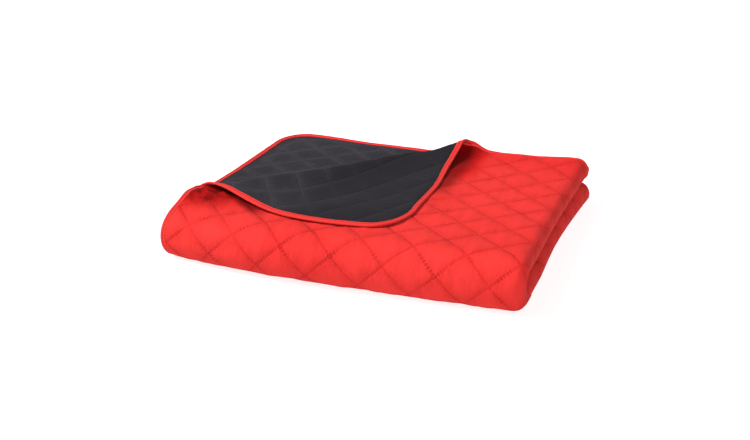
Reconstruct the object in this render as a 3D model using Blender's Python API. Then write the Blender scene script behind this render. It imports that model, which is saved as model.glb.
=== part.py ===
# A double-sided quilted bedspread, folded four times into a pad, with one corner turned back.
# It is red on its face, dark grey on its reverse, and bound all round in red.
#
# Flat cloth is measured by u across its width, v along its length and w through its thickness,
# with w = 0 on the reverse and w = slot on the face. The folds are bends that nest in each other:
# along v, along u, along u again and along v again. In the pad X runs along the last fold,
# Y from that fold to the bound edges at the back, and Z up. All sizes are in metres.

import bpy
import numpy as np
from math import pi, radians, sqrt
from mathutils import Matrix, Vector
from mathutils.geometry import delaunay_2d_cdt

# The cloth as it was cut, bound
quilt_width = 2.60
quilt_length = 2.40
corner_radius = 0.085

# One layer in the pad takes up one slot, and the quilt fills it less a little air
slot = 0.0051
plain_thickness = 0.0040
puff_thickness = 0.0049
seam_thickness = 0.0026
edge_thickness = 0.0021

# Quilting: a lattice of diamonds, given by their diagonals and by one crossing of the seams.
# Its rows drift along the cloth as they cross it, less and less towards the turned-back edge.
diamond_wide = 0.0878
diamond_long = 0.0847
crossing_u = 0.0545
crossing_v = 0.5707
row_drift = 0.0608
undrifted_u = 0.30
drift_from = 0.30

# Binding: a folded tape over the raw edge
binding_width = 0.0095
binding_wall = 0.0006
binding_gap = 0.0003
binding_rim = 0.0008

# Folds: the half thickness that each one turns about, in slots
first_reach = slot
second_reach = 2 * slot
third_reach = 4 * slot
fourth_reach = 8 * slot
eye = 0.004
uneven_edge = 0.030
front_squareness = 2.4
lowest_face = (slot - plain_thickness) / 2

first_straight = (quilt_length - uneven_edge - pi * first_reach) / 2
second_straight = (quilt_width - pi * second_reach) / 2
third_straight = (second_straight + second_reach - pi * third_reach) / 2
fourth_turn = fourth_reach + eye
fourth_straight = (first_straight + first_reach - pi * fourth_turn) / 2
pad_front = fourth_straight + fourth_turn
top_layer = 15 * slot + 2 * eye

# The corner turned back: its fold crosses the top layer at 45 degrees, bowed towards the front.
# The cloth lifts, turns over and falls to rest on the pad. The size of that section changes along
# the fold as a cubic, its left end lies lower, and the flap slips along the fold on the bias.
turn_offset = 0.151
turn_bow = 0.0295
bow_shift = 1.93
lift_length = 0.038
lift_angle = radians(21)
turn_length = 0.0356
even_turning = 0.65
fall_angle = radians(18.4)
rest_height = slot + 0.0015
ridge_growth = np.array([0.515, 0.235, -0.48, 1.0])
left_lowering = 0.52
bias_slip = 0.160
slip_change = 0.161

# Where the reverse of the second layer shows, from its corner: across and along the cloth together,
# and along it alone
second_shown = 0.56
second_depth = 0.47

# How the pad settled. Its left end lies further back, by steps across its width.
skew_at = np.array([0.0, 0.05, 0.13, 0.30])
skew_back = np.array([0.037, 0.025, 0.012, 0.0])
skew_depth = 0.5

# The open bend at the front closes towards the back
closed_at = 0.30
eye_left = 0.2

# Its right side is hollow and leans, by steps from the front to the back: how far out the lowest
# and the highest layer lie there
side_at = np.array([0.0, closed_at, 0.46, pad_front])
side_low = np.array([-0.0195, -0.0095, 0.003, 0.0186])
side_high = np.array([-0.0125, -0.0065, 0.0035, 0.0086])
side_x = 0.64
side_line = 0.48

# Spacing of the points that the solids are made of
bend_clearance = 0.007
shown_inset = 0.021
turn_inset = 0.018
turn_spacing = 0.027
flap_reach = 0.50
least_rim_step = 0.003
least_step = 0.008


def smooth(value):
    part = np.clip(value, 0, 1)
    return part * part * (3 - 2 * part)


def fold(along, height, straight, turn, gap=0.0, squareness=2.0):
    # Straight up to the bend, half a turn about its axis, then straight back.
    # A squareness over 2 fills the bend out from a circle.
    angle = np.clip((along - straight) / turn, 0, pi)
    reach = np.abs(np.cos(angle)) ** squareness + np.abs(np.sin(angle)) ** squareness
    radius = (gap + height) * reach ** (-1 / squareness)
    past = np.maximum(along - straight - pi * turn, 0)
    return np.minimum(along, straight) + radius * np.sin(angle) - past, radius * np.cos(angle)


def run(arc, lean):
    # Adds up the steps of a curve that leans by the given angles along its length
    step = np.diff(arc)
    middle = (lean[1:] + lean[:-1]) / 2
    across = np.concatenate([[0], np.cumsum(np.cos(middle) * step)])
    up = np.concatenate([[0], np.cumsum(np.sin(middle) * step)])
    return across, up


def turned_section():
    # Section of the turned-back corner: the cloth lifts, turns over and comes down on the pad
    share = np.linspace(0, 1, 161)
    turn_angle = pi + fall_angle - lift_angle
    lift_lean = lift_angle * smooth(share)
    turn_lean = lift_angle + turn_angle * ((1 - even_turning) * smooth(share) + even_turning * share)
    fall_lean = pi + fall_angle * (1 - smooth(share))
    lift_top = run(share * lift_length, lift_lean)[1][-1]
    turn_top = run(share * turn_length, turn_lean)[1][-1]
    drop = np.mean(np.sin(fall_angle * (1 - smooth(share))))
    fall_length = (lift_top + turn_top - rest_height) / drop
    arc = np.concatenate([
        share * lift_length,
        lift_length + share[1:] * turn_length,
        lift_length + turn_length + share[1:] * fall_length,
        [lift_length + turn_length + fall_length + 1.0],
    ])
    lean = np.concatenate([lift_lean, turn_lean[1:], fall_lean[1:], [pi]])
    across, up = run(arc, lean)
    return arc, across, up, lean


section_arc, section_across, section_up, section_lean = turned_section()
section_reach = section_across.max()
outermost_arc = section_arc[section_across.argmax()]


def turn_measures(x, y):
    # Distances of a point of the top layer along the turned fold and beyond it, then its place
    # along that fold, from -1 at the left edge to 1 at the back edge, the size of the section
    # there, as a cubic, and the fold's own bow
    along = (x + y) / sqrt(2)
    beyond = (y - x - turn_offset) / sqrt(2)
    middle = pad_front / sqrt(2)
    end = (pad_front - turn_offset) / sqrt(2)
    spot = np.clip((along - middle) / end, -1, 1)
    growth = np.polyval(ridge_growth, spot)
    bow = -turn_bow * (1 - spot ** 2) * (1 - bow_shift * spot)
    return along, beyond, spot, growth, bow


def turn_corner(x, y, w):
    # Carries a point of the flat top layer round the turned-back corner
    along, beyond, spot, growth, bow = turn_measures(x, y)
    reach = growth * section_reach
    arc = (beyond - bow + reach) / growth
    lean = np.interp(arc, section_arc, section_lean)
    offset = w - slot / 2
    across = np.interp(arc, section_arc, section_across) * growth - reach + bow
    across = across - offset * np.sin(lean)
    up = np.interp(arc, section_arc, section_up)
    spare = up - rest_height * np.clip(arc / outermost_arc, 0, 1)
    up = (up - left_lowering * np.minimum(spot, 0) ** 2 * spare) * growth + offset * np.cos(lean)
    slip = bias_slip - slip_change * spot
    along = along - slip * growth * np.maximum(arc - outermost_arc, 0)
    across = across + turn_offset / sqrt(2)
    turned = np.stack([along - across, along + across]) / sqrt(2)
    return arc > 0, turned[0], turned[1], up + top_layer + slot / 2


def settle(x, y, z):
    # Shifts the whole pad a little, every layer alike
    upper = z > 8 * slot + eye
    closing = np.clip((y - fourth_turn) / (closed_at - fourth_turn), 0, 1)
    z = z - upper * 2 * eye * (1 - eye_left) * closing
    drawn = np.interp(x, skew_at, skew_back) * (1 - np.clip(y / skew_depth, 0, 1)) ** 1.5
    low = np.interp(y, side_at, side_low)
    high = np.interp(y, side_at, side_high)
    out = (low + (high - low) * z / top_layer) * (np.maximum(x, 0) / side_x) ** 2
    return np.stack([x + out, y + drawn, z - lowest_face], axis=-1)


def place(u, v, w):
    # Carries points of the flat cloth to where they lie in the folded pad
    back, height = fold(v, w, first_straight, first_reach)
    across, height = fold(u, height + slot, second_straight, second_reach)
    across, height = fold(across, height + 2 * slot, third_straight, third_reach)
    back, height = fold(back, height + 4 * slot, fourth_straight, fourth_turn, eye, front_squareness)
    y = pad_front - back
    z = height + 8 * slot + eye
    beyond, turned_x, turned_y, turned_z = turn_corner(across, y, w)
    turned = beyond & (u < third_straight) & (v < fourth_straight)
    x = np.where(turned, turned_x, across)
    y = np.where(turned, turned_y, y)
    z = np.where(turned, turned_z, z)
    return settle(x, y, z)


def round_corners(u, v):
    # Draws the square corners of the flat cloth in to arcs
    du = np.maximum(corner_radius - u, 0) - np.maximum(u - quilt_width + corner_radius, 0)
    dv = np.maximum(corner_radius - v, 0) - np.maximum(v - quilt_length + corner_radius, 0)
    reach = np.maximum(np.abs(du), np.abs(dv))
    length = np.maximum(np.hypot(du, dv), 1e-9)
    both = (du != 0) & (dv != 0)
    scale = np.where(both, reach / length, 1.0)
    return u + du * (1 - scale), v + dv * (1 - scale)


def spread(start, length, steps):
    return start + length * np.linspace(0, 1, steps + 1)


def add_apart(kept, more, least):
    # Adds the values of the second list that lie far enough from those already kept
    kept = list(kept)
    for value in more:
        if min(abs(value - other) for other in kept) > least:
            kept.append(value)
    return np.array(sorted(kept))


# Lines of the flat cloth that the folds need: the second half of the cloth mirrors the first
third_lines = spread(third_straight, pi * third_reach, 8)
second_lines = spread(second_straight, pi * second_reach, 5)
fourth_lines = spread(fourth_straight, pi * fourth_turn, 10)
first_lines = spread(first_straight, pi * first_reach, 5)
fold_u = np.concatenate([third_lines, second_lines, quilt_width - third_lines])
first_middle = first_straight + pi * first_reach / 2
fold_v = np.concatenate([fourth_lines, first_lines, 2 * first_middle - fourth_lines])

# Lines where the pad's flat stretches bend a little as it settles, the same in every layer
settle_u = np.append(skew_at[1:], side_line)
settle_u = np.concatenate([settle_u, third_lines[0] + third_lines[-1] - settle_u])
settle_u = np.concatenate([settle_u, quilt_width - settle_u])
settle_v = pad_front - side_at[1:3]
settle_v = np.concatenate([settle_v, fourth_lines[0] + fourth_lines[-1] - settle_v])
settle_v = np.concatenate([settle_v, 2 * first_middle - settle_v])

# All main lines, and the strip under the binding
rim_inset = binding_width + binding_gap
main_u = np.sort(np.concatenate([fold_u, settle_u]))
main_v = np.sort(np.concatenate([fold_v, settle_v]))

# Finer lines where the quilting shows, at a quarter of a diamond
quarter_u = np.arange(crossing_u % (diamond_wide / 4), third_straight, diamond_wide / 4)
quarter_v = np.arange(crossing_v % (diamond_long / 4), first_straight, diamond_long / 4)
corner_steps = corner_radius * np.array([0.24, 0.47, 0.73, 1.0])
corner_u = np.concatenate([corner_steps, quilt_width - corner_steps])
corner_v = np.concatenate([corner_steps, quilt_length - corner_steps])

# Rows of points along the turned-back corner, by their distance round its section
turn_rows = np.concatenate([
    lift_length * np.array([0.0, 0.5, 0.9]),
    spread(lift_length, turn_length, 8)[1:],
    lift_length + turn_length + np.array([0.015, 0.045]),
])


def drift(u, v):
    return row_drift * (u - undrifted_u) * smooth(v / drift_from) * (v < first_straight)


def arc_at(x, y):
    along, beyond, spot, growth, bow = turn_measures(x, y)
    return (beyond - bow + growth * section_reach) / growth


def rim_crossings():
    # Where the rows of the turned-back corner meet the left edge and the back edge
    y = np.linspace(0.05, pad_front, 800)
    left = pad_front - np.interp(turn_rows, arc_at(0 * y, y), y)
    x = np.linspace(0.6, 0, 800)
    back = np.interp(turn_rows, arc_at(x, 0 * x + pad_front), x)
    return back, left


class Knots:
    # Points of the flat cloth and the lines that join them
    def __init__(self):
        self.points = []
        self.edges = []

    def line(self, points):
        first = len(self.points)
        self.points += [tuple(point) for point in points]
        self.edges += [(first + i, first + i + 1) for i in range(len(points) - 1)]

    def spots(self, points):
        self.points += [tuple(point) for point in points]


def rim_values():
    back, left = rim_crossings()
    flap_u = quarter_u[quarter_u < flap_reach]
    flap_v = quarter_v[quarter_v < flap_reach]
    along_u = add_apart(main_u, np.concatenate([corner_u, back, flap_u]), least_rim_step)
    along_v = add_apart(main_v, np.concatenate([corner_v, left, flap_v]), least_rim_step)
    return along_u, along_v


def rim_ring():
    # Stations round the edge of the cloth, as rows of u, v and the inward direction in each
    along_u, along_v = rim_values()
    near = np.array([[0, 0, 1, 1]] + [[u, 0, 0, 1] for u in along_u])
    right = np.array([[quilt_width, 0, -1, 1]] + [[quilt_width, v, -1, 0] for v in along_v])
    far = near[::-1] * [1, 1, 1, -1] + [0, quilt_length, 0, 0]
    left = right[::-1] * [1, 1, -1, 1] - [quilt_width, 0, 0, 0]
    corner = [[quilt_width, quilt_length, -1, -1]]
    return np.concatenate([near, right, corner, far[:-1], [[0, quilt_length, 1, -1]], left[:-1]])


def second_shows(u, v):
    back = quilt_length - v
    return (u + back < second_shown) & (back < second_depth)


def seam_nodes():
    # Half-diamond lattice in the wide flat places where quilting shows: (column, row) of each node
    columns, rows = np.meshgrid(np.arange(-40, 80), np.arange(-40, 80), indexing="ij")
    u = crossing_u + columns * diamond_wide / 2
    v = crossing_v + rows * diamond_long / 2
    v = v + drift(u, v)
    inside = (u > shown_inset) & (u < third_straight - bend_clearance)
    top = inside & (v > shown_inset) & (v < fourth_straight - bend_clearance)
    arc = arc_at(u, pad_front - v)
    in_turn = (arc > turn_rows[0] - bend_clearance) & (arc < turn_rows[-1] + bend_clearance)
    under = inside & (v < quilt_length - shown_inset) & second_shows(u, v)
    wanted = (top & ~in_turn) | under
    return dict(zip(zip(columns[wanted], rows[wanted]), zip(u[wanted], v[wanted])))


def turn_nodes():
    # Points on the rows of the turned-back corner
    along = np.arange(turn_offset, 2 * pad_front - turn_offset, turn_spacing * sqrt(2)) / sqrt(2)
    spots = []
    for arc in turn_rows:
        x = along / sqrt(2)
        growth, bow = turn_measures(x, x)[3:]
        beyond = arc * growth - growth * section_reach + bow + turn_offset / sqrt(2)
        u = (along - beyond) / sqrt(2)
        v = pad_front - (along + beyond) / sqrt(2)
        inside = (u > turn_inset) & (v > turn_inset) & (v < fourth_straight - least_step)
        spots += list(zip(u[inside], v[inside]))
    return spots


def flat_mesh():
    # Triangulates the flat cloth on all its lines and points
    knots = Knots()
    ring = rim_ring()
    outer = ring[:, :2]
    inner = outer + rim_inset * ring[:, 2:]
    knots.line(np.vstack([outer, outer[:1]]))
    knots.line(np.vstack([inner, inner[:1]]))
    for here, within, following in zip(outer, inner, np.roll(inner, -1, axis=0)):
        knots.line([within, here, following])
    shown_v = add_apart(main_v, quarter_v, least_step)
    shown_u = add_apart(main_u, quarter_u, least_step)
    ends_u = np.array([rim_inset, quilt_width - rim_inset])
    ends_v = np.array([rim_inset, quilt_length - rim_inset])
    for u in fold_u:
        values = np.sort(np.append(shown_v if u in third_lines else main_v, ends_v))
        knots.line([(u, v) for v in values if rim_inset <= v <= ends_v[1]])
    for v in fold_v:
        values = np.sort(np.append(shown_u if v in fourth_lines else main_u, ends_u))
        knots.line([(u, v) for u in values if rim_inset <= u <= ends_u[1]])
    hidden = [(u, v) for u in settle_u for v in settle_v if u > third_straight or v > fourth_straight]
    knots.spots(hidden)
    nodes = seam_nodes()
    for (column, row), point in nodes.items():
        for turn in (1, -1):
            other = nodes.get((column + 1, row + turn))
            if other and (column + row) % 2 == 0:
                knots.line([point, other])
        knots.spots([point])
    knots.spots(turn_nodes())
    corners = [Vector(point) for point in knots.points]
    flat, _, faces, *_ = delaunay_2d_cdt(corners, knots.edges, [], 0, 1e-5)
    return np.array([tuple(point) for point in flat]), [list(face) for face in faces]


def thicknesses(u, v, edge_distance):
    # Height w of the reverse and of the face. Each diamond that shows is a hump between its seams:
    # full on its middle, by the square root of the sines across both pairs of seams, and thin along
    # them. Where the pad's front comes down to what it rests on, the humps die out.
    across = (u - crossing_u) / diamond_wide
    down = (v - drift(u, v) - crossing_v) / diamond_long
    hump = np.sqrt(np.abs(np.sin(pi * (across + down)) * np.sin(pi * (across - down))))
    quilted = seam_thickness + (puff_thickness - seam_thickness) * hump
    clear_height = place(u, v, 0 * u + slot / 2)[:, 2] - 2 * slot
    raised = smooth(clear_height / (4 * slot))
    shown_face = raised * (u < third_lines[-1] + binding_gap) * (v < first_straight)
    beyond_turn = arc_at(u, pad_front - v) > lift_length
    corner = (v < fourth_straight) & (u < third_straight) & beyond_turn
    shown_reverse = (corner | second_shows(u, v)) * 1.0
    face = plain_thickness + (quilted - plain_thickness) * shown_face
    reverse = plain_thickness + (quilted - plain_thickness) * shown_reverse
    rim = edge_distance < rim_inset + 1e-4
    face = np.where(rim, edge_thickness, face)
    reverse = np.where(rim, edge_thickness, reverse)
    return slot / 2 - reverse / 2, slot / 2 + face / 2


def principled(name, colour, roughness):
    material = bpy.data.materials.new(name)
    material.use_nodes = True
    shader = material.node_tree.nodes["Principled BSDF"]
    shader.inputs["Base Color"].default_value = (*colour, 1)
    shader.inputs["Roughness"].default_value = roughness
    shader.inputs["Metallic"].default_value = 0
    return material


def add_object(name, points, faces, materials):
    mesh = bpy.data.meshes.new(name)
    mesh.from_pydata([tuple(point) for point in points], [], faces)
    for material in materials:
        mesh.materials.append(material)
    mesh.validate()
    item = bpy.data.objects.new(name, mesh)
    bpy.context.scene.collection.objects.link(item)
    return item


def make_quilt(red, dark):
    flat, faces = flat_mesh()
    flat_u, flat_v = flat.T
    edge_distance = np.min([flat_u, quilt_width - flat_u, flat_v, quilt_length - flat_v], axis=0)
    u, v = round_corners(flat_u, flat_v)
    low, high = thicknesses(u, v, edge_distance)
    count = len(flat)
    points = np.concatenate([place(u, v, low), place(u, v, high)])
    sides = {}
    for face in faces:
        for i, corner in enumerate(face):
            sides[(corner, face[(i + 1) % 3])] = True
    rim = [(a, b) for a, b in sides if (b, a) not in sides]
    above = [[corner + count for corner in reversed(face)] for face in faces]
    walls = [[b, a, a + count, b + count] for a, b in rim]
    item = add_object("quilt", points, above + faces + walls, [red, dark])
    for polygon, index in zip(item.data.polygons, [0] * len(above) + [1] * len(faces) + [0] * len(walls)):
        polygon.material_index = index
    return item


def make_binding(red):
    ring = rim_ring()
    inner = edge_thickness / 2 + binding_gap
    outer = inner + binding_wall
    rim = -binding_gap - binding_rim
    # section of the tape: distance in from the edge, height from the middle of the cloth
    section = np.array([
        (binding_width, outer),
        (0, outer),
        (rim, outer - binding_rim),
        (rim, binding_rim - outer),
        (0, -outer),
        (binding_width, -outer),
        (binding_width, -inner),
        (-binding_gap, -inner),
        (-binding_gap, inner),
        (binding_width, inner),
    ])
    u = ring[:, 0, None] + ring[:, 2, None] * section[:, 0]
    v = ring[:, 1, None] + ring[:, 3, None] * section[:, 0]
    w = np.broadcast_to(slot / 2 + section[:, 1], u.shape)
    u, v = round_corners(u, v)
    points = place(u.ravel(), v.ravel(), w.ravel())
    stations, corners = u.shape
    faces = []
    for i in range(stations):
        j = (i + 1) % stations
        for k in range(corners):
            m = (k + 1) % corners
            here, there = (k, m) if section[k, 0] < section[m, 0] else (m, k)
            turn = 1 if here == k else -1
            faces.append([i * corners + here, j * corners + here, j * corners + there][::turn])
            faces.append([i * corners + here, j * corners + there, i * corners + there][::turn])
    return add_object("binding", points, faces, [red])


def centre(items):
    # Moves the origin to the middle of the pad's underside
    corners = [np.array(corner) for item in items for corner in item.bound_box]
    low = np.min(corners, axis=0)
    high = np.max(corners, axis=0)
    middle = ((low[0] + high[0]) / 2, (low[1] + high[1]) / 2, low[2])
    for item in items:
        item.data.transform(Matrix.Translation(middle).inverted())


def build():
    for item in list(bpy.data.objects):
        bpy.data.objects.remove(item, do_unlink=True)
    face_red = principled("face_red", (0.80, 0.03, 0.03), 0.75)
    reverse_grey = principled("reverse_grey", (0.03, 0.03, 0.035), 0.8)
    binding_red = principled("binding_red", (0.72, 0.03, 0.03), 0.65)
    centre([make_quilt(face_red, reverse_grey), make_binding(binding_red)])


build()
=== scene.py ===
import bpy
import numpy as np
from math import pi, radians, sqrt
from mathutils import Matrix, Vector


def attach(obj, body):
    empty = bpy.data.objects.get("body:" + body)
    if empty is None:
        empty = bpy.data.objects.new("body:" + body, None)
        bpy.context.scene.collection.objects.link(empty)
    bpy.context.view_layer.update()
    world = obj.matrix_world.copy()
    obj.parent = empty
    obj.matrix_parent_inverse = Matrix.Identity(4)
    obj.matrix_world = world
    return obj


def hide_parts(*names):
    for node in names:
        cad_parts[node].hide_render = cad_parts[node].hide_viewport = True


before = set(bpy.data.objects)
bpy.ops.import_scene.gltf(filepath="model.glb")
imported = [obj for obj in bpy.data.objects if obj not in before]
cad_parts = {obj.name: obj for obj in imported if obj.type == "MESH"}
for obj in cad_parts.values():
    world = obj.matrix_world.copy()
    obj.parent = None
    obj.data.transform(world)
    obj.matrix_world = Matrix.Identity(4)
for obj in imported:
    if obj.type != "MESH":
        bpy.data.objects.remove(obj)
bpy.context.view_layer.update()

# The cloth is measured flat by u across its width, v along its length and w through it, in metres.
# Its folds nest in each other: along v, along u, along u again, and along v again.
# In the pad, x runs from the left end, y from the front and z up from the floor.
cloth = {
    "width": 2.60,
    "length": 2.40,
    "cornerRadius": 0.068,
    "slot": 0.0051,            # what one layer takes up in the pad
    "plainThickness": 0.0040,
    "puffThickness": 0.0054,   # in the middle of a quilted diamond
    "seamThickness": 0.0024,
    "edgeThickness": 0.0021,   # inside the binding
    "unevenEdge": 0.030,       # how far the second layer reaches past the first
    "eye": 0.004,              # open room inside the front bend
    "frontSquareness": 2.4,    # 2 is a round bend, and more is squarer
    "sideSquareness": 2.1,
}

# The corner of the top layer that is turned back over itself, along a line at 45 degrees
turn = {
    "offset": 0.151,           # y - x on the line
    "bow": 0.0295,             # how far the fold bows off the line, and how lopsidedly
    "bowShift": 1.93,
    "liftLength": 0.038,       # the cloth rises over this length
    "liftAngle": radians(21),
    "length": 0.0356,          # bends over in this length, part of it eased at both ends
    "eased": 0.35,
    "fallAngle": radians(18.4),
    "restHeight": 0.0066,      # and comes to rest this high
    "growth": [0.515, 0.235, -0.48, 1.0],    # size of the section, as a cubic of the place along it
    "leftLowering": 0.52,
    "steps": 161,
    "slip": 0.160,             # the flap is pulled along the fold
    "slipChange": 0.161,
    # its bound edges aren't quite straight: by how much, at which u and v, and how far to both sides
    "leftEase": (0.0045, 0, 0.300, 0.10, 0.045),
    "backEase": (0.0065, 0.185, 0, 0.060, 0.10),
}

# How the pad settled. A pair is where something starts and over what length it grows; a length below
# nought means that it shrinks.
settled = {
    "middle": (0.324509, 0.29835),   # comes to lie at the origin
    "eyeLeft": 0.2,                  # what is left of the open bend further back
    "closedAt": 0.30,
    "overhang": (0.035, 0.045),      # layers above this height sag at the back
    "droop": 0.0125,
    "droopX": (0.17, 0.22),
    "droopY": (-0.012, 0.026),       # counted from the top layer's back edge
    "rimCurl": 0.0040,               # and their bound rim curls up a little
    "rimOutside": (0.014, -0.012),
    "rimInside": (0.042, -0.022),
    "rimY": (0.30, 0.08),
    "sideLow": (-0.0165, 0.0355),    # how far right the lowest layer lies in front, and gains to the back
    "sideHigh": (-0.0120, 0.0172),   # and the highest one
    "sidePower": 2.2,
    "sideBelly": 0.0062,             # near the front the lowest layers bulge once more
    "sideBellyY": (0.14, 0.10),
    "sideWidth": 0.64,
    "tuck": 0.0085,                  # the front bend is tucked in towards the floor, less at the right
    "tuckEased": 0.75,
    "tuckX": (0.2, 0.3),
    "tuckHeight": 0.045,
    "tuckY": (0.12, -0.12),
    "skew": 0.037,                   # the front of the left end lies this far back
    "skewReach": 0.30,
    "skewDepth": 0.5,
    "skewPower": 1.5,
    "leftBulge": (0.0045, 0, 0.045, 0.12, 0.035),
}
# Soft rises and dips of the pad: share of the height, x and y of the middle, and reach along both
swells = {
    "crest": (-0.018, 0.045, 0.150, 0.030, 0.030),
    "peak": (0.040, 0.470, 0.565, 0.030, 0.050),
    "cap": (0.080, 0.417, 0.562, 0.016, 0.022),      # the turned fold ends in a blunt cap
    "ramp": (-0.066, 0.345, 0.495, 0.050, 0.050),    # and sags before it
    "back": (-0.095, 0.190, 0.620, 0.075, 0.050),
    "backCorner": (0.045, 0, 0.620, 0.050, 0.050),
    "second": (0.030, 0.080, 0.560, 0.130, 0.160),   # where the second layer shows
}
# The same at the left end, with all that lies left of it counted as on it
leftSwells = {
    "belly": (0.096, 0, 0.131, 0.120, 0.030),
    "foot": (-0.105, 0, 0.048, 0.120, 0.036),
    "apex": (-0.084, 0, 0.180, 0.120, 0.024),
    "shoulder": (0.050, 0, 0.166, 0.009, 0.013),
}
# Steps up towards the back right: share of the height, then start and length along x and y
stepsUp = {
    "corner": (0.040, (0.54, 0.06), (0.48, 0.08)),
    "back": (0.050, (0.46, 0.06), (0.45, 0.08)),
}

slot = cloth["slot"]
eye = cloth["eye"]
width = cloth["width"]
length = cloth["length"]
firstReach, secondReach, thirdReach, fourthReach = slot, 2 * slot, 4 * slot, 8 * slot
firstStraight = (length - cloth["unevenEdge"] - pi * firstReach) / 2
secondStraight = (width - pi * secondReach) / 2
thirdStraight = (secondStraight + secondReach - pi * thirdReach) / 2
fourthTurn = fourthReach + eye
fourthStraight = (firstStraight + firstReach - pi * fourthTurn) / 2
padFront = fourthStraight + fourthTurn
topLayer = 15 * slot + 2 * eye
lowestFace = (slot - cloth["plainThickness"]) / 2
firstMiddle = firstStraight + pi * firstReach / 2


def smooth(value):
    # 3 t^2 - 2 t^3 between 0 and 1
    part = np.clip(value, 0, 1)
    return part * part * (3 - 2 * part)


def grow(value, start, reach):
    # Smoothly from 0 at start to 1 a reach further on
    return smooth((value - start) / reach)


def swell(x, y, size, spotX, spotY, reachX, reachY):
    # A bell: size times e to the power of -(dx / reachX)^2 - (dy / reachY)^2
    return size * np.exp(-((x - spotX) / reachX) ** 2 - ((y - spotY) / reachY) ** 2)


def ripple(x, y, size, seed):
    # Sum of nine sine waves of about one size in seeded directions, over three
    rng = np.random.default_rng(seed)
    angles, phases, scales = rng.uniform(0, pi, 9), rng.uniform(0, 2 * pi, 9), rng.uniform(0.7, 1.5, 9)
    total = 0
    for angle, phase, scale in zip(angles, phases, scales):
        total = total + np.sin(2 * pi * (x * np.cos(angle) + y * np.sin(angle)) / (size * scale) + phase)
    return total / 3


def fold(along, height, straight, bend, gap=0.0, squareness=2.0):
    # Straight, then half a turn of radius gap + height (a superellipse), then straight back
    angle = np.clip((along - straight) / bend, 0, pi)
    reach = np.abs(np.cos(angle)) ** squareness + np.abs(np.sin(angle)) ** squareness
    radius = (gap + height) * reach ** (-1 / squareness)
    past = np.maximum(along - straight - pi * bend, 0)
    return np.minimum(along, straight) + radius * np.sin(angle) - past, radius * np.cos(angle)


def runUp(arc, lean):
    # Running sum of (cos lean, sin lean) along the arc
    step = np.diff(arc)
    middle = (lean[1:] + lean[:-1]) / 2
    across = np.concatenate([[0], np.cumsum(np.cos(middle) * step)])
    return across, np.concatenate([[0], np.cumsum(np.sin(middle) * step)])


def turnedSection():
    # The turned corner in section: lean rises to liftAngle, goes on past a half turn, and eases to pi
    share = np.linspace(0, 1, turn["steps"])
    liftArc, turnArc = share * turn["liftLength"], share * turn["length"]
    liftLean = turn["liftAngle"] * smooth(share)
    sweep = pi + turn["fallAngle"] - turn["liftAngle"]
    turnLean = turn["liftAngle"] + sweep * (turn["eased"] * smooth(share) + (1 - turn["eased"]) * share)
    easing = turn["fallAngle"] * (1 - smooth(share))
    top = runUp(liftArc, liftLean)[1][-1] + runUp(turnArc, turnLean)[1][-1]
    fallLength = (top - turn["restHeight"]) / np.mean(np.sin(easing))
    turned = turn["liftLength"] + turn["length"]
    arc = np.concatenate([
        liftArc,
        turn["liftLength"] + turnArc[1:],
        turned + share[1:] * fallLength,
        [turned + fallLength + 1.0],    # and a metre more, flat
    ])
    lean = np.concatenate([liftLean, turnLean[1:], pi + easing[1:], [pi]])
    across, up = runUp(arc, lean)
    return arc, across, up, lean


sectionArc, sectionAcross, sectionUp, sectionLean = turnedSection()
sectionReach = sectionAcross.max()
outermostArc = sectionArc[sectionAcross.argmax()]


def turnMeasures(x, y):
    # Rotates the top layer by 45 degrees: along the turned fold and beyond it, with the section's
    # size there as a cubic of the place along it, and the fold's own bow
    along = (x + y) / sqrt(2)
    beyond = (y - x - turn["offset"]) / sqrt(2)
    spot = np.clip((along - padFront / sqrt(2)) / ((padFront - turn["offset"]) / sqrt(2)), -1, 1)
    growth = np.polyval(turn["growth"], spot)
    bow = -turn["bow"] * (1 - spot ** 2) * (1 - turn["bowShift"] * spot)
    return along, beyond, spot, growth, bow


def arcAt(x, y):
    # Length of cloth from where it starts to lift, at the section's own size; below nought it lies flat
    along, beyond, spot, growth, bow = turnMeasures(x, y)
    return (beyond - bow + growth * sectionReach) / growth


def turnCorner(x, y, w):
    # Lays each line across the turned fold along the section, scaled by its growth
    along, beyond, spot, growth, bow = turnMeasures(x, y)
    arc = arcAt(x, y)
    lean = np.interp(arc, sectionArc, sectionLean)
    offset = w - slot / 2
    across = (np.interp(arc, sectionArc, sectionAcross) - sectionReach) * growth + bow
    across = across - offset * np.sin(lean) + turn["offset"] / sqrt(2)
    up = np.interp(arc, sectionArc, sectionUp)
    spare = up - turn["restHeight"] * np.clip(arc / outermostArc, 0, 1)
    up = up - turn["leftLowering"] * np.minimum(spot, 0) ** 2 * spare
    up = up * growth + offset * np.cos(lean) + topLayer + slot / 2
    flap = np.maximum(arc - outermostArc, 0)
    along = along - (turn["slip"] - turn["slipChange"] * spot) * growth * flap
    return arc > 0, (along - across) / sqrt(2), (along + across) / sqrt(2), up


def sagged(x, y, z, topmost):
    # The open front bend closes towards the back. Behind it every layer but the topmost hangs down by
    # droop, and its bound rim curls up in a band that follows the rounded back corner.
    upper = smooth((z - 8 * slot - 0.5 * eye) / eye)
    closing = np.clip((y - fourthTurn) / (settled["closedAt"] - fourthTurn), 0, 1)
    z = z - upper * 2 * eye * (1 - settled["eyeLeft"]) * closing
    start, reach = settled["overhang"]
    hanging = np.clip((z - start) / reach, 0, 1)
    droop = settled["droop"] * grow(x, *settled["droopX"]) * grow(y - padFront, *settled["droopY"])
    r = cloth["cornerRadius"]
    fromSide, fromBack = np.maximum(r - x, 0), np.maximum(r - padFront - cloth["unevenEdge"] + y, 0)
    inside = r - np.hypot(fromSide, fromBack)
    rim = grow(inside, *settled["rimOutside"]) - grow(inside, *settled["rimInside"])
    rim = rim * grow(y, *settled["rimY"])
    return z + np.where(topmost, 0, (settled["rimCurl"] * rim - droop) * hanging)


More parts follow.
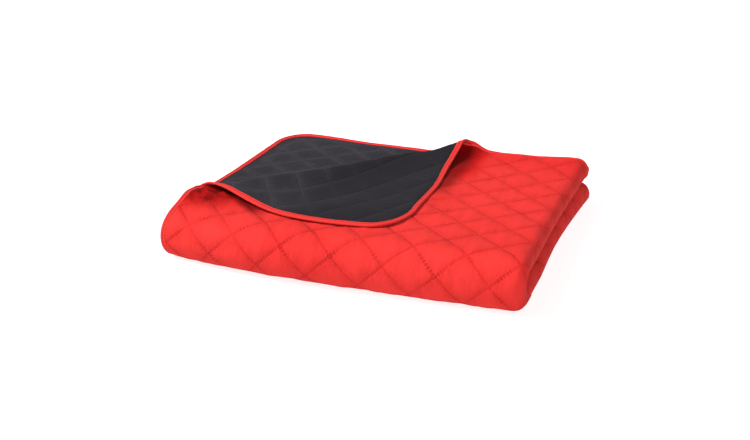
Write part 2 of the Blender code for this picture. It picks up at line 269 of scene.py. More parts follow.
def settle(x, y, z, topmost):
    # Small shifts of the whole pad, the same for every layer: it sags at the back, the right side leans by
    # a power of y, the front is tucked in near the floor, the left end is drawn back, the height is scaled
    # by 1 + the sum of the swells and steps, and the lowest layer is pressed flat on the floor
    z = sagged(x, y, z, topmost)
    left = np.maximum(x, 0)
    far = np.clip(y / padFront, 0, 2) ** settled["sidePower"]
    low, high = [start + gain * far for start, gain in (settled["sideLow"], settled["sideHigh"])]
    spot, reach = settled["sideBellyY"]
    low = low + settled["sideBelly"] * np.exp(-((y - spot) / reach) ** 2)
    side = (low + (high - low) * z / topLayer) * (left / settled["sideWidth"]) ** 2
    drawn = settled["skew"] * np.clip(1 - x / settled["skewReach"], 0, 2) ** 2
    tuck = settled["tuck"] * (1 - settled["tuckEased"] * grow(x, *settled["tuckX"]))
    y = y + tuck * np.clip(1 - z / settled["tuckHeight"], 0, 1) ** 2 * grow(y, *settled["tuckY"])
    y = y + drawn * (1 - np.clip(y / settled["skewDepth"], 0, 1)) ** settled["skewPower"]
    scale = sum(swell(left, y, *values) for values in leftSwells.values())
    scale = scale + sum(swell(x, y, *values) for values in swells.values())
    for share, alongX, alongY in stepsUp.values():
        scale = scale + share * grow(x, *alongX) * grow(y, *alongY)
    x = x - swell(left, z, *settled["leftBulge"])
    z = np.maximum(z * (1 + scale) - lowestFace, 0)
    middle = settled["middle"]
    return np.stack([x + side - middle[0], y - middle[1], z], axis=-1)


def place(u, v, w):
    # The four folds one after another, then the turned corner of the top layer
    u, v = u + swell(u, v, *turn["leftEase"]), v - swell(u, v, *turn["backEase"])
    back, height = fold(v, w, firstStraight, firstReach)
    across, height = fold(u, height + slot, secondStraight, secondReach)
    across, height = fold(across, height + 2 * slot, thirdStraight, thirdReach, 0, cloth["sideSquareness"])
    back, height = fold(back, height + 4 * slot, fourthStraight, fourthTurn, eye, cloth["frontSquareness"])
    y = padFront - back
    z = height + 8 * slot + eye
    beyond, turnedX, turnedY, turnedZ = turnCorner(across, y, w)
    turned = beyond & (u < thirdStraight) & (v < fourthStraight)
    topmost = (u < thirdStraight + pi * thirdReach / 2) & (v < fourthStraight)
    x, y, z = np.where(turned, turnedX, across), np.where(turned, turnedY, y), np.where(turned, turnedZ, z)
    return settle(x, y, z, topmost)


def roundCorners(u, v):
    # Pulls the square corners in: a point at (du, dv) inside a corner square moves to radius max(du, dv)
    r = cloth["cornerRadius"]
    du = np.maximum(r - u, 0) - np.maximum(u - width + r, 0)
    dv = np.maximum(r - v, 0) - np.maximum(v - length + r, 0)
    reach = np.maximum(np.abs(du), np.abs(dv))
    scale = np.where((du != 0) & (dv != 0), reach / np.maximum(np.hypot(du, dv), 1e-9), 1.0)
    return u + du * (1 - scale), v + dv * (1 - scale)


# The quilting is a lattice of diamonds, with its rows drifting across the top
seams = {
    "wide": 0.0878,              # diagonals of a diamond
    "long": 0.0847,
    "u": 0.0545,                 # one crossing
    "v": 0.5707,
    "drift": 0.0608,
    "driftMiddle": 0.3,          # u where the rows haven't moved
    "driftStart": (0, 0.30),
    "driftEnd": (0.85, 0.30),
    "driftSide": (0.75, 0.40),
}
quilting = {
    "fullness": 0.42,            # power of the pillow, lower is fuller
    "uneven": (0.10, 0.11, 5),   # share, size and seed of the differences between pillows
    "shown": (0.010, 0.020),     # heights, and ends across and along, where the face is quilted
    "rightEnd": (0.69, 0.02),
    "lowEnd": (0.75, 0.05),
    "sideBend": (0.60, 0.05),    # pulled flatter round the side's bend
    "sidePulled": 0.6,
    "backShare": 0.5,            # and towards the back
    "backGain": 0.25,
    "backY": (0.22, 0.25),
    "flapFrom": 0.7,             # the reverse is quilted past this share of the lift
    "second": (0.47, 0.56),      # and in the second layer's corner
    "rim": (0.006, 0.012),       # next to the binding the cloth is thin
}


def warp(u, t):
    # v = t + drift (u - driftMiddle), faded out towards the edges and the hidden part
    fade = grow(t, *seams["driftStart"]) * (1 - grow(t, *seams["driftEnd"]))
    fade = fade * (1 - grow(u, *seams["driftSide"]))
    return t + seams["drift"] * (np.minimum(u, seams["driftSide"][0]) - seams["driftMiddle"]) * fade


def seamPhase(u, t):
    # Both families of seams lie where these are whole numbers
    across = (u - seams["u"]) / seams["wide"]
    down = (t - seams["v"]) / seams["long"]
    return across + down, across - down


def thicknesses(u, t, edgeDistance):
    # Face and reverse around the middle: |sin a sin b|^fullness inside each diamond, where it shows
    a, b = seamPhase(u, t)
    pillow = np.abs(np.sin(pi * a) * np.sin(pi * b)) ** quilting["fullness"]
    share, size, seed = quilting["uneven"]
    full = cloth["puffThickness"] * (1 + share * ripple(u, t, size, seed))
    quilted = cloth["seamThickness"] + (full - cloth["seamThickness"]) * pillow
    height = place(u, t, 0 * u + slot / 2)[..., 2]
    shownFace = grow(height, *quilting["shown"])
    shownFace = shownFace * (1 - grow(u, *quilting["rightEnd"])) * (1 - grow(t, *quilting["lowEnd"]))
    shownFace = shownFace * (1 - quilting["sidePulled"] * grow(u, *quilting["sideBend"]))
    shownFace = shownFace * (quilting["backShare"] + quilting["backGain"] * grow(t, *quilting["backY"]))
    onFlap = arcAt(u, padFront - t) > turn["liftLength"] * quilting["flapFrom"]
    onFlap = onFlap & (t < fourthStraight) & (u < thirdStraight)
    low, wide = quilting["second"]
    under = (t > length - low) & (u + length - t < wide)
    shownReverse = np.where(onFlap | under, 1.0, 0.0)
    plain, edge = cloth["plainThickness"], cloth["edgeThickness"]
    rim = grow(edgeDistance, *quilting["rim"])
    face = plain + (quilted - plain) * shownFace
    reverse = plain + (quilted - plain) * shownReverse
    return edge + (face - edge) * rim, edge + (reverse - edge) * rim


# Loose waves: height, size and seed, with a level of 1 unless a fourth number gives another
waves = {
    "broad": (0.0005, 0.09, 3),
    "narrow": (0.00045, 0.026, 8),
    "narrowStretch": 0.35,           # along v
    "crumple": (0.0034, 0.024, 15, 1.1),
    "crumpleEnd": (0.085, -0.04),    # the crumples lie at the left end, between these places
    "crumpleRim": (0.006, 0.022),
    "crumpleFront": (0.075, 0.03),
    "crumpleBack": (0.20, -0.04),
    "flap": (0.0016, 0.16, 11),
    "flapStart": (0.12, 0.08),
    "turning": (0.01, 0.03),         # where the top layer's waves end, before it turns over
    "calmRim": 0.02,                 # no waves at the bound edge
}


def wave(u, t, height, size, seed, level=1.0):
    # height (level + ripple)
    return height * (level + ripple(u, t, size, seed))


def lifts(u, t):
    # Waves of the top layer and of the turned-back flap, always away from what lies below,
    # and crumples at the left end where the cloth is gathered under the fold
    x, y = u, padFront - t
    arc = arcAt(x, y)
    top = (t < fourthStraight + pi * fourthTurn) & (u < thirdStraight + pi * thirdReach * 0.5)
    flap = (t < fourthStraight) & (u < thirdStraight)
    gathered = grow(u, *waves["crumpleEnd"]) * grow(y, *waves["crumpleFront"])
    gathered = gathered * grow(y, *waves["crumpleBack"]) * grow(u, *waves["crumpleRim"])
    lift = wave(u, t, *waves["broad"]) + wave(u, t * waves["narrowStretch"], *waves["narrow"])
    lift = lift + gathered * wave(u, t, *waves["crumple"])
    lift = np.where(flap, lift * (1 - grow(arc, *waves["turning"])), lift)
    lowered = grow(arc, *waves["flapStart"]) * wave(u, t, *waves["flap"])
    return np.where(top, lift, 0) - np.where(flap, lowered, 0)


def surfacePoints(u, t, side, edgeDistance):
    # Half a thickness from the lifted middle of the cloth, on its face where side is 1 and its reverse
    # where it is -1, with the flat place that the material reads
    face, reverse = thicknesses(u, t, edgeDistance)
    middle = slot / 2 + lifts(u, t) * smooth(edgeDistance / waves["calmRim"])
    w = middle + (face / 2 if side > 0 else -reverse / 2)
    squareV = warp(u, t)
    roundU, roundV = roundCorners(u, squareV)
    return place(roundU, roundV, w), roundU, t + roundV - squareV


def merged(*groups):
    # Sorted values, those of later groups left out where they crowd an earlier one
    kept = []
    for least, values in groups:
        kept += [x for x in values if not kept or min(abs(x - other) for other in kept) > least]
    return np.array(sorted(kept))


def bend(start, size, steps):
    # Even steps over a bend
    return start + size * np.linspace(0, 1, steps + 1)


# Lines of the flat cloth: fine where it shows, at a sixteenth of a diamond, and sparse where it is hidden
grid = {
    "perDiamond": 16,
    "rim": [0, 0.0035, 0.0070, 0.0105],    # over the width of the binding
    "past": 0.02,                          # the fine lines run on past a visible bend
    "secondLayer": 1.93,                   # v from which the second layer shows
    "bendSteps": (8, 10, 12),              # of the narrow, the side and the front bends
    "sparse": 0.065,
    "sparseU": 0.70,                       # where the sparse lines start
    "sparseV": 0.68,
    "fineRoom": 0.0028,                    # least distance from the lines of earlier groups
    "bendRoom": 0.003,
    "sparseRoom": 0.030,
}
counted = np.arange(-200, 900) / grid["perDiamond"]
fineU = seams["u"] + seams["wide"] * counted
fineV = seams["v"] + seams["long"] * counted
rimLines = np.array(grid["rim"])
narrowSteps, sideSteps, frontSteps = grid["bendSteps"]
hiddenU = np.concatenate([
    bend(secondStraight, pi * secondReach, narrowSteps),
    width - bend(thirdStraight, pi * thirdReach, sideSteps),
])
hiddenV = np.concatenate([
    bend(firstStraight, pi * firstReach, narrowSteps),
    2 * firstMiddle - bend(fourthStraight, pi * fourthTurn, frontSteps),
])
uLines = merged(
    (0, np.concatenate([rimLines, width - rimLines])),
    (grid["fineRoom"], fineU[(fineU > 0) & (fineU < thirdStraight + pi * thirdReach + grid["past"])]),
    (grid["bendRoom"], hiddenU),
    (grid["sparseRoom"], np.arange(grid["sparseU"], width, grid["sparse"])),
)
vLines = merged(
    (0, np.concatenate([rimLines, length - rimLines])),
    (grid["fineRoom"], fineV[(fineV > 0) & (fineV < fourthStraight + pi * fourthTurn + grid["past"])]),
    (grid["fineRoom"], fineV[(fineV > grid["secondLayer"]) & (fineV < length)]),
    (grid["bendRoom"], hiddenV),
    (grid["sparseRoom"], np.arange(grid["sparseV"], length, grid["sparse"])),
)


def addMesh(name, points, triangles, uv, materials, materialIndex):
    # A mesh from arrays, with its flat map, smooth shading and a material for each triangle
    mesh = bpy.data.meshes.new(name)
    mesh.from_pydata(points.tolist(), [], triangles.tolist())
    layer = mesh.uv_layers.new(name="flat")
    loops = np.empty(len(mesh.loops), dtype=np.int32)
    mesh.loops.foreach_get("vertex_index", loops)
    layer.data.foreach_set("uv", uv[loops].astype(np.float32).ravel())
    for material in materials:
        mesh.materials.append(material)
    mesh.polygons.foreach_set("material_index", materialIndex.astype(np.int32))
    mesh.polygons.foreach_set("use_smooth", np.ones(len(mesh.polygons), dtype=bool))
    mesh.update()
    item = bpy.data.objects.new(name, mesh)
    bpy.context.scene.collection.objects.link(item)
    return item


def makeQuilt(faceMaterial, reverseMaterial):
    # Face and reverse on one grid of the flat cloth, joined by a wall along its edge
    u, t = np.meshgrid(uLines, vLines, indexing="ij")
    edgeDistance = np.minimum(np.minimum(u, width - u), np.minimum(t, length - t))
    facePoints, flatU, flatV = surfacePoints(u, t, 1, edgeDistance)
    reversePoints = surfacePoints(u, t, -1, edgeDistance)[0]
    rows, columns = u.shape
    index = np.arange(rows * columns).reshape(rows, columns)
    a, b, c, d = index[:-1, :-1], index[1:, :-1], index[1:, 1:], index[:-1, 1:]
    # each cell is split along the seam that runs nearer to it
    phaseA, phaseB = seamPhase((u[:-1, :-1] + u[1:, 1:]) / 2, (t[:-1, :-1] + t[1:, 1:]) / 2)
    nearA = (np.abs(phaseA - np.round(phaseA)) < np.abs(phaseB - np.round(phaseB)))[..., None]
    first = np.where(nearA, np.stack([a, b, d], -1), np.stack([a, b, c], -1)).reshape(-1, 3)
    second = np.where(nearA, np.stack([b, c, d], -1), np.stack([a, c, d], -1)).reshape(-1, 3)
    sheet = np.concatenate([first, second])
    count = rows * columns
    loop = np.concatenate([index[:-1, 0], index[-1, :-1], index[:0:-1, -1], index[0, :0:-1]])
    after = np.roll(loop, -1)
    walls = np.concatenate([
        np.stack([after, loop, loop + count], -1),
        np.stack([after, loop + count, after + count], -1),
    ])
    triangles = np.concatenate([sheet[:, ::-1], sheet + count, walls[:, ::-1]])
    materialIndex = np.concatenate([np.zeros(len(sheet)), np.ones(len(sheet)), np.zeros(len(walls))])
    points = np.concatenate([facePoints.reshape(-1, 3), reversePoints.reshape(-1, 3)])
    uv = np.tile(np.stack([flatU.ravel(), flatV.ravel()], -1), (2, 1))
    return addMesh("quilt_cloth", points, triangles, uv, [faceMaterial, reverseMaterial], materialIndex)


# The tape over the edge
tape = {
    "width": 0.0095,
    "wall": 0.0010,
    "gap": 0.0002,             # between the tape and the cloth
    # from its sewn edge to the rim: share of the width plus a length, and height past the wall
    "profile": [
        (1, 0, -0.0003),
        (1, -0.0010, 0.0002),
        (0.62, 0, 0.0001),
        (0.50, 0, -0.0004),    # sunk along the stitches
        (0.38, 0, 0.0001),
        (0, 0.0014, 0.0001),
        (0, 0.0001, -0.0003),
        (0, -0.0010, -0.0011),
    ],
    "fullness": (0.10, 0.035, 21),    # share, size and seed of its fuller and flatter stretches
    "room": 0.0035,            # least distance between two stations
    "margin": 0.0005,          # stations nearer to a corner are left out
}


def makeBinding(material):
    # A folded tape's section carried round the edge of the flat cloth, then folded with it. Each
    # station has its place on the edge and the direction in from it.
    margin = tape["margin"]
    sideU = merged((0, uLines), (tape["room"], (uLines[1:] + uLines[:-1]) / 2))
    sideU = sideU[(sideU > margin) & (sideU < width - margin)]
    sideV = vLines[(vLines > margin) & (vLines < length - margin)]
    none, one = 0 * sideU, 0 * sideU + 1
    near = np.vstack([[0, 0, 1, 1], np.stack([sideU, none, none, one], -1)])
    none, one = 0 * sideV, 0 * sideV + 1
    right = np.vstack([[width, 0, -1, 1], np.stack([width * one, sideV, -one, none], -1)])
    far = near[::-1] * [1, 1, 1, -1] + [0, length, 0, 0]
    left = right[::-1] * [1, 1, -1, 1] - [width, 0, 0, 0]
    ring = np.concatenate([near, right, [[width, length, -1, -1]], far[:-1], [[0, length, 1, -1]], left[:-1]])
    step = np.hypot(*np.diff(ring[:, :2], axis=0, append=ring[:1, :2]).T)
    travel = np.concatenate([[0], np.cumsum(step)[:-1]])
    wide, gap = tape["width"], tape["gap"]
    inner = cloth["edgeThickness"] / 2 + gap
    outer = inner + tape["wall"]
    half = [(wide * share + more, outer + past) for share, more, past in tape["profile"]]
    inside = [(wide, -inner), (-gap, -inner), (-gap, inner), (wide, inner)]
    section = np.array(half + [(x, -y) for x, y in reversed(half)] + inside)
    share, size, seed = tape["fullness"]
    fullness = 1 + share * ripple(travel, 0 * travel, size, seed)[:, None]
    height = np.where(np.abs(section[:, 1]) > inner + 1e-5, section[:, 1] * fullness, section[:, 1])
    u = ring[:, 0, None] + ring[:, 2, None] * section[:, 0]
    v = ring[:, 1, None] + ring[:, 3, None] * section[:, 0]
    u, v = roundCorners(u, v)
    points = place(u, v, slot / 2 + height).reshape(-1, 3)
    a = np.arange(u.size).reshape(u.shape)
    b = np.roll(a, -1, axis=0)
    c = np.roll(b, -1, axis=1)
    d = np.roll(a, -1, axis=1)
    triangles = np.concatenate([np.stack(corners, -1).reshape(-1, 3) for corners in ([a, b, c], [a, c, d])])
    across = np.broadcast_to(section[:, 0], u.shape)
    uv = np.stack([np.broadcast_to(travel[:, None], u.shape), across], -1).reshape(-1, 2)
    return addMesh("binding_tape", points, triangles, uv, [material], np.zeros(len(triangles)))


class Shader:
    # Builds a material's nodes with short calls
    def __init__(self, name):
        self.material = bpy.data.materials.new(name)
        self.material.use_nodes = True
        self.tree = self.material.node_tree
        self.surface = self.tree.nodes["Principled BSDF"]

    def put(self, value, socket):
        # Links a node's output to a socket, or sets a plain value on it
        if isinstance(value, bpy.types.NodeSocket):
            self.tree.links.new(value, socket)
        else:
            socket.default_value = value

    def node(self, kind, inputs, **settings):
        made = self.tree.nodes.new(kind)
        for key, value in settings.items():
            setattr(made, key, value)
        for key, value in inputs.items():
            self.put(value, made.inputs[key])
        return made.outputs[0]

    def math(self, operation, *values):
        return self.node("ShaderNodeMath", dict(enumerate(values)), operation=operation)

    def times(self, first, *others):
        for other in others:
            first = self.math("MULTIPLY", first, other)
        return first

    def ramp(self, value, low, high, start=0.0, end=1.0):
        # Smoothly from start at low to end at high
        inputs = {"Value": value, "From Min": low, "From Max": high, "To Min": start, "To Max": end}
        return self.node("ShaderNodeMapRange", inputs, interpolation_type="SMOOTHSTEP")

    def fall(self, value, low, high, start=1.0):
        return self.ramp(value, low, high, start, 0)

    def noise(self, vector, scale, detail=2.0, stretch=(1, 1, 1)):
        moved = self.node("ShaderNodeMapping", {"Vector": vector, "Scale": stretch})
        return self.node("ShaderNodeTexNoise", {"Vector": moved, "Scale": scale, "Detail": detail})

    def mix(self, share, first, second):
        # A colour mix; sockets 6 and 7 are its two colours, and output 2 is theirs
        made = self.tree.nodes.new("ShaderNodeMix")
        made.data_type = "RGBA"
        for number, value in ((0, share), (6, first), (7, second)):
            self.put(value, made.inputs[number])
        return made.outputs[2]

    def flatPlace(self):
        # The flat map, as a vector and as its two measures
        flat = self.node("ShaderNodeUVMap", {}, uv_map="flat")
        split = self.tree.nodes.new("ShaderNodeSeparateXYZ")
        self.tree.links.new(flat, split.inputs[0])
        return flat, split.outputs[0], split.outputs[1]

    def finish(self, colour, height, look):
        # Height is in millimetres
        self.tree.links.new(colour, self.surface.inputs["Base Color"])
        bumped = self.node("ShaderNodeBump", {"Height": height, "Strength": look["bump"], "Distance": 0.001})
        self.tree.links.new(bumped, self.surface.inputs["Normal"])
        self.surface.inputs["Roughness"].default_value = look["roughness"]
        self.surface.inputs["Sheen Weight"].default_value = look["sheen"]
        self.surface.inputs["Sheen Roughness"].default_value = look["sheenRoughness"]
        self.surface.inputs["Sheen Tint"].default_value = look["sheenTint"]
        self.surface.inputs["Specular IOR Level"].default_value = look["specular"]
        return self.material


def dimmed(colour, share):
    # A share of a colour's red, green and blue
    return tuple(share * x for x in colour[:3]) + (1,)


faceLook = {
    "base": (0.53, 0.0265, 0.0235, 1),
    "cloudy": (0.49, 0.022, 0.019, 1),
    "seam": (0.33, 0.010, 0.009, 1),
    "dot": (0.18, 0.005, 0.005, 1),
    "paintedShadeTone": (0.33, 0.0010, 0.0008, 1),       # painted shade where little light gets in
    # darker painted shade in the gathers, under the turned fold's curl and beside its far end
    "paintedDarkShadeTone": (0.085, 0.0004, 0.0003, 1),
    "roughness": 0.85,
    "sheen": 0.03,
    "sheenRoughness": 0.45,
    "sheenTint": (1.0, 0.30, 0.27, 1),
    "specular": 0.035,
    "bump": 0.8,
}
reverseLook = dict(
    faceLook,
    base=(0.0158, 0.0140, 0.0172, 1),
    cloudy=(0.0195, 0.0170, 0.0215, 1),
    seam=(0.034, 0.032, 0.037, 1),
    dot=(0.010, 0.009, 0.011, 1),
    paintedShadeTone=(0.0158, 0.0140, 0.0172, 1),
    paintedDarkShadeTone=(0.010, 0.009, 0.011, 1),
    sheenTint=(0.8, 0.8, 0.88, 1),
)
tapeLook = dict(
    faceLook,
    base=(0.55, 0.027, 0.024, 1),
    dark=(0.36, 0.010, 0.010, 1),
    roughness=0.7,
    sheen=0.10,
    sheenTint=(1.0, 0.4, 0.36, 1),
)
# The welds beside a seam: distances from it and from their rows, and shares of their step
welds = {
    "wander": 0.004,             # the seams aren't quite straight
    "dotPitch": 0.0060,
    "row": 0.0017,               # a row of dots on each side, this far out
    "groove": (0.0004, 0.0036),
    "core": (0.0003, 0.0019),
    "near": (0.002, 0.020),      # the cloth puckers up to here
    "dotWide": (0.0004, 0.0010),
    "dotLong": (0.15, 0.26),
    "pressed": (0.47, 0.64, 0.08, 1),    # they come out stronger in places
    "marked": (0.36, 0.66, 0.12, 0.60),
    "markedAlong": (0.20, 0.50, 0.50, 1.1),
}
# Tones and reliefs of the quilted cloth: ramps, shares of a tone, and heights in millimetres
fabric = {
    "cloudy": (0.3, 0.7),
    "napped": (0.35, 0.65),
    "napShare": 0.30,
    "napTone": 0.80,
    # painted shade: the seam's tone where the crinkle and pucker relief sinks
    "paintedCreaseShade": (0.45, 1.15, 0.0, 0.30),
    "grooveShare": 0.16,
    "dotShare": 0.85,
    "grooveDeep": -0.45,
    "dotDeep": -0.55,
    "crinkleDeep": (0.49, 0.58, -0.9, -2.0),    # along v: more so round the front bend
    "puckerDeep": -1.0,
    "weaveHigh": 0.10,
    "napHigh": 0.07,
}
# The same of the tape, and its stitches
stitches = {
    "step": 0.0055,
    "rib": 0.0011,
    "holeWide": (0.0006, 0.0017),
    "holeLong": (0.14, 0.28, 1, 0.25),
    "threadWide": (0.0002, 0.0005),
    "threadLong": (0.2, 0.3),
    "napShare": 0.4,
    "holeShare": 0.75,
    "holeTone": 0.4,
    "threadHigh": 0.25,
    "holeDeep": -0.5,
    "ribHigh": 0.10,
    "pullHigh": 0.35,
}
# Noises on the flat map: scale, detail and stretch
grains = {
    "wander": (9, 1),
    "pressed": (24, 2),
    "marked": (13, 2),
    "nap": (900, 3),
    "weave": (520, 1, (1, 2.2, 1)),
    "crinkle": (110, 3, (1, 0.35, 1)),
    "puckers": (210, 2, (1, 0.6, 1)),
    "cloud": (5.5, 3),
    # patches of the darker painted shade in the gathers
    "shadePatches": (48, 2, (1, 0.7, 1)),
    "tapeNap": (1100, 2),
    "tapePull": (240, 2, (1, 0.3, 1)),
}
# Painted shade where little light gets in, on the flat map: from and to along u, v or a line at a slant to
# them, and the share at the full end where it isn't 1
shades = {
    "start": (0.486, 0.566, 0.84),       # in front of the turned fold's start
    "startSlant": 0.44,
    "startU": (0.15, 0.24),
    "startV": (0.36, 0.40),
    "besideU": (0.430, 0.472, 0.80),     # beside its far end
    "besideV": (0.13, 0.20),
    "backV": (0.03, 0.13, 0.28),
    "darkShadeU": (0.040, 0.110),           # darker painted shade in the gathers where it starts
    "darkShadeTop": (0.395, 0.430),
    "darkShadeFoot": (0.478, 0.524),
    "shadePatches": (0.36, 0.62, 0.40, 0.92),
    "wedge": (0.399, 0.423, 0.92),       # darker painted shadow in the wedge under its curl
    "wedgeSlant": -0.6,
    "wedgeU": (0.125, 0.185),
    "wedgeV": (0.395, 0.420),
    "paintedEdgeShadowU": (0.412, 0.446, 0.80),     # darker painted shadow beside its far end
    "paintedEdgeShadowV": (0.20, 0.30),
}


def shadeMasks(s, flat, u, v):
    # Two masks of painted shade, as products of ramps along u, v and slanted lines: a deeper tone, and a
    # darker one in the gathers, the wedge under the curl and beside the fold's far end
    start = s.fall(s.math("MULTIPLY_ADD", u, shades["startSlant"], v), *shades["start"])
    start = s.times(start, s.fall(u, *shades["startU"]), s.ramp(v, *shades["startV"]))
    beside = s.times(s.fall(u, *shades["besideU"]), s.fall(v, *shades["besideV"]))
    beside = s.math("MAXIMUM", beside, s.fall(v, *shades["backV"]))
    paintedShadeMask = s.math("MAXIMUM", start, beside)
    # the darker painted shade in the gathers, broken into patches by noise
    gathered = s.times(s.fall(u, *shades["darkShadeU"]), s.ramp(v, *shades["darkShadeTop"]),
                       s.fall(v, *shades["darkShadeFoot"]),
                       s.ramp(s.noise(flat, *grains["shadePatches"]), *shades["shadePatches"]))
    wedge = s.fall(s.math("MULTIPLY_ADD", u, shades["wedgeSlant"], v), *shades["wedge"])
    wedge = s.times(wedge, s.fall(u, *shades["wedgeU"]), s.ramp(v, *shades["wedgeV"]))
    paintedEdgeShadow = s.times(s.fall(u, *shades["paintedEdgeShadowU"]), s.fall(v, *shades["paintedEdgeShadowV"]))
    return paintedShadeMask, s.math("MAXIMUM", gathered, s.math("MAXIMUM", wedge, paintedEdgeShadow))


def seamMasks(s, flat, u, v):
    # For both families of seams the distance from one is its phase folded at a half, times the spacing:
    # a groove, its core, the puckered cloth beside it, and the weld dots, all by ramps of that distance
    moved = s.times(s.math("SUBTRACT", s.noise(flat, *grains["wander"]), 0.5), welds["wander"])
    across = s.math("DIVIDE", s.math("SUBTRACT", s.math("ADD", u, moved), seams["u"]), seams["wide"])
    down = s.math("DIVIDE", s.math("SUBTRACT", v, seams["v"]), seams["long"])
    phases = [s.math("ADD", across, down), s.math("SUBTRACT", across, down)]
    diagonal = sqrt(seams["wide"] ** 2 + seams["long"] ** 2)
    spacing = seams["wide"] * seams["long"] / diagonal
    grooves, cores, nearness, dots = [], [], [], []
    for here, other in (phases, phases[::-1]):
        distance = s.times(s.math("PINGPONG", here, 0.5), spacing)
        along = s.math("PINGPONG", s.times(other, diagonal / 2 / welds["dotPitch"]), 0.5)
        fromRow = s.math("ABSOLUTE", s.math("SUBTRACT", distance, welds["row"]))
        grooves.append(s.fall(distance, *welds["groove"]))
        cores.append(s.fall(distance, *welds["core"]))
        nearness.append(s.fall(distance, *welds["near"]))
        dots.append(s.times(s.fall(fromRow, *welds["dotWide"]), s.fall(along, *welds["dotLong"])))
    return [s.math("MAXIMUM", *pair) for pair in (grooves, cores, nearness, dots)]


def quiltedMaterial(name, look):
    # Base and cloudy tone mixed one after another with the nap, the seam's tone as painted shade where the
    # relief sinks, then in grooves and cores, the two painted shades and the dots. The height is the sum of
    # all reliefs, each times its size.
    s = Shader(name)
    flat, u, v = s.flatPlace()
    groove, core, near, dots = seamMasks(s, flat, u, v)
    # masks of painted shade, and of darker painted shade in the gathers, under the curl and beside the fold's
    # far end
    paintedShadeMask, gathered = shadeMasks(s, flat, u, v)
    pressed = s.ramp(s.noise(flat, *grains["pressed"]), *welds["pressed"])
    marked = s.ramp(s.noise(flat, *grains["marked"]), *welds["marked"])
    marked = s.times(marked, s.ramp(v, *welds["markedAlong"]))
    spot = s.times(dots, pressed)
    nap, weave, crinkle, puckers, cloud = [
        s.noise(flat, *grains[each]) for each in ("nap", "weave", "crinkle", "puckers", "cloud")]
    napped = s.times(s.ramp(nap, *fabric["napped"]), fabric["napShare"])
    # painted shade: the seam's tone where the crinkle and pucker relief sinks
    paintedCreaseShade = s.ramp(s.math("MULTIPLY_ADD", puckers, near, crinkle), *fabric["paintedCreaseShade"])
    colour = s.mix(s.ramp(cloud, *fabric["cloudy"]), look["base"], look["cloudy"])
    for share, tone in (
        (napped, dimmed(look["base"], fabric["napTone"])),
        (paintedCreaseShade, look["seam"]),
        (s.times(groove, fabric["grooveShare"]), look["seam"]),
        (s.times(core, marked), look["seam"]),
        # the two painted shades
        (paintedShadeMask, look["paintedShadeTone"]),
        (gathered, look["paintedDarkShadeTone"]),
        (s.times(spot, fabric["dotShare"]), look["dot"]),
    ):
        colour = s.mix(share, colour, tone)
    height = s.times(groove, fabric["grooveDeep"])
    for part, size in (
        (spot, fabric["dotDeep"]),
        (crinkle, s.ramp(v, *fabric["crinkleDeep"])),
        (s.times(puckers, near), fabric["puckerDeep"]),
        (weave, fabric["weaveHigh"]),
        (nap, fabric["napHigh"]),
    ):
        height = s.math("MULTIPLY_ADD", part, size, height)
    return s.finish(colour, height, look)


def tapeMaterial(name, look):
    # A ribbed tape with one line of stitches in its middle: ribs and stitches are folded distances
    # along it, and the holes between the stitches are darker and lower
    s = Shader(name)
    flat, along, across = s.flatPlace()
    away = s.math("ABSOLUTE", s.math("SUBTRACT", across, tape["width"] / 2))
    step = s.math("PINGPONG", s.math("DIVIDE", along, stitches["step"]), 0.5)
    rib = s.math("PINGPONG", s.math("DIVIDE", along, stitches["rib"]), 0.5)
    hole = s.times(s.fall(away, *stitches["holeWide"]), s.ramp(step, *stitches["holeLong"]))
    thread = s.times(s.fall(away, *stitches["threadWide"]), s.ramp(step, *stitches["threadLong"]))
    napped = s.times(s.noise(flat, *grains["tapeNap"]), stitches["napShare"])
    pull = s.noise(flat, *grains["tapePull"])
    colour = s.mix(napped, look["base"], look["dark"])
    colour = s.mix(s.times(hole, stitches["holeShare"]), colour, dimmed(look["dark"], stitches["holeTone"]))
    height = s.times(thread, stitches["threadHigh"])
    for part, size in ((hole, stitches["holeDeep"]), (rib, stitches["ribHigh"]), (pull, stitches["pullHigh"])):
        height = s.math("MULTIPLY_ADD", part, size, height)
    return s.finish(colour, height, look)


faceRed = quiltedMaterial("face_red", faceLook)
reverseGrey = quiltedMaterial("reverse_grey", reverseLook)
tapeRed = tapeMaterial("binding_red", tapeLook)
print("materials made")

quilt = makeQuilt(faceRed, reverseGrey)
print("quilt", len(quilt.data.polygons), "triangles")
binding = makeBinding(tapeRed)
print("binding", len(binding.data.polygons), "triangles")

for piece, node, slotName in ((quilt, "quilt", "quilted_fabric"), (binding, "binding", "binding_tape")):
    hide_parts(node)
    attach(piece, "root")

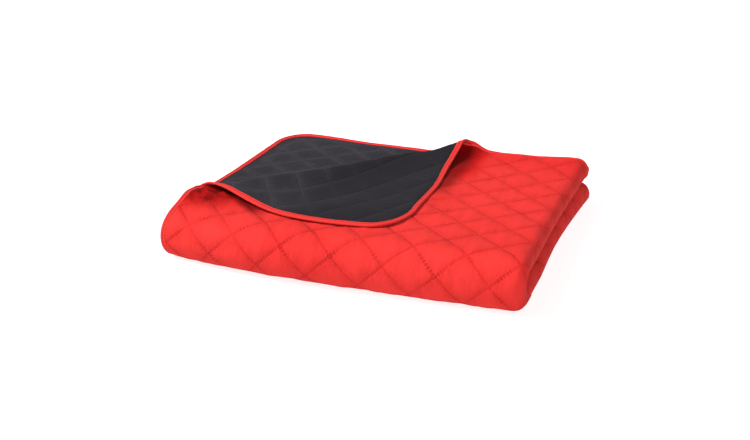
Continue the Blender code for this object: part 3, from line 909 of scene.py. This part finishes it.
# Floor, camera and light
stage = {
    "floorSize": 60.0,
    "floorHeight": -0.0004,
    "floor": (0.40, 0.40, 0.40, 1),
    "floorRoughness": 0.9,
    "floorGlow": 0.74,           # lifts the floor to white
    "cameraAt": (0.5165, -1.6604, 0.674),
    "cameraTurn": (radians(69.38), 0, radians(18.31)),
    "lens": 48.62,
    "sensor": 36,
    "suns": {                    # power, softness in degrees, and the direction it shines in
        "key": (5.4, 26, (0.64, 0.20, -0.71)),
        "front": (2.0, 30, (-0.36, 0.80, -0.42)),
    },
    "around": 0.40,              # strength of the white surroundings
}
white = (1, 1, 1, 1)


def makeFloor():
    # One square below the origin
    half, low = stage["floorSize"] / 2, stage["floorHeight"]
    mesh = bpy.data.meshes.new("floor")
    corners = [(-half, -half, low), (half, -half, low), (half, half, low), (-half, half, low)]
    mesh.from_pydata(corners, [], [(0, 1, 2, 3)])
    floor = bpy.data.objects.new("floor", mesh)
    bpy.context.scene.collection.objects.link(floor)
    s = Shader("floor_pale")
    s.surface.inputs["Base Color"].default_value = stage["floor"]
    s.surface.inputs["Roughness"].default_value = stage["floorRoughness"]
    s.surface.inputs["Emission Color"].default_value = white
    s.surface.inputs["Emission Strength"].default_value = stage["floorGlow"]
    mesh.materials.append(s.material)


def makeCamera():
    # At the photograph's viewing angle
    camera = bpy.data.cameras.new("camera")
    camera.lens = stage["lens"]
    camera.sensor_width = stage["sensor"]
    item = bpy.data.objects.new("camera", camera)
    item.location = stage["cameraAt"]
    item.rotation_euler = stage["cameraTurn"]
    bpy.context.scene.collection.objects.link(item)
    bpy.context.scene.camera = item


def addSun(name, power, softness, toward):
    # A distant light that shines along a direction
    lamp = bpy.data.lights.new(name, "SUN")
    lamp.energy = power
    lamp.angle = radians(softness)
    item = bpy.data.objects.new(name, lamp)
    item.rotation_euler = Vector(toward).to_track_quat("-Z", "Y").to_euler()
    item.location = (0, 0, 3)
    bpy.context.scene.collection.objects.link(item)


makeFloor()
makeCamera()
for name, values in stage["suns"].items():
    addSun(name, *values)
world = bpy.data.worlds.new("studio")
bpy.context.scene.world = world
world.use_nodes = True
world.node_tree.nodes["Background"].inputs["Color"].default_value = white
world.node_tree.nodes["Background"].inputs["Strength"].default_value = stage["around"]
bpy.context.scene.view_settings.view_transform = "Standard"
print("stage made")
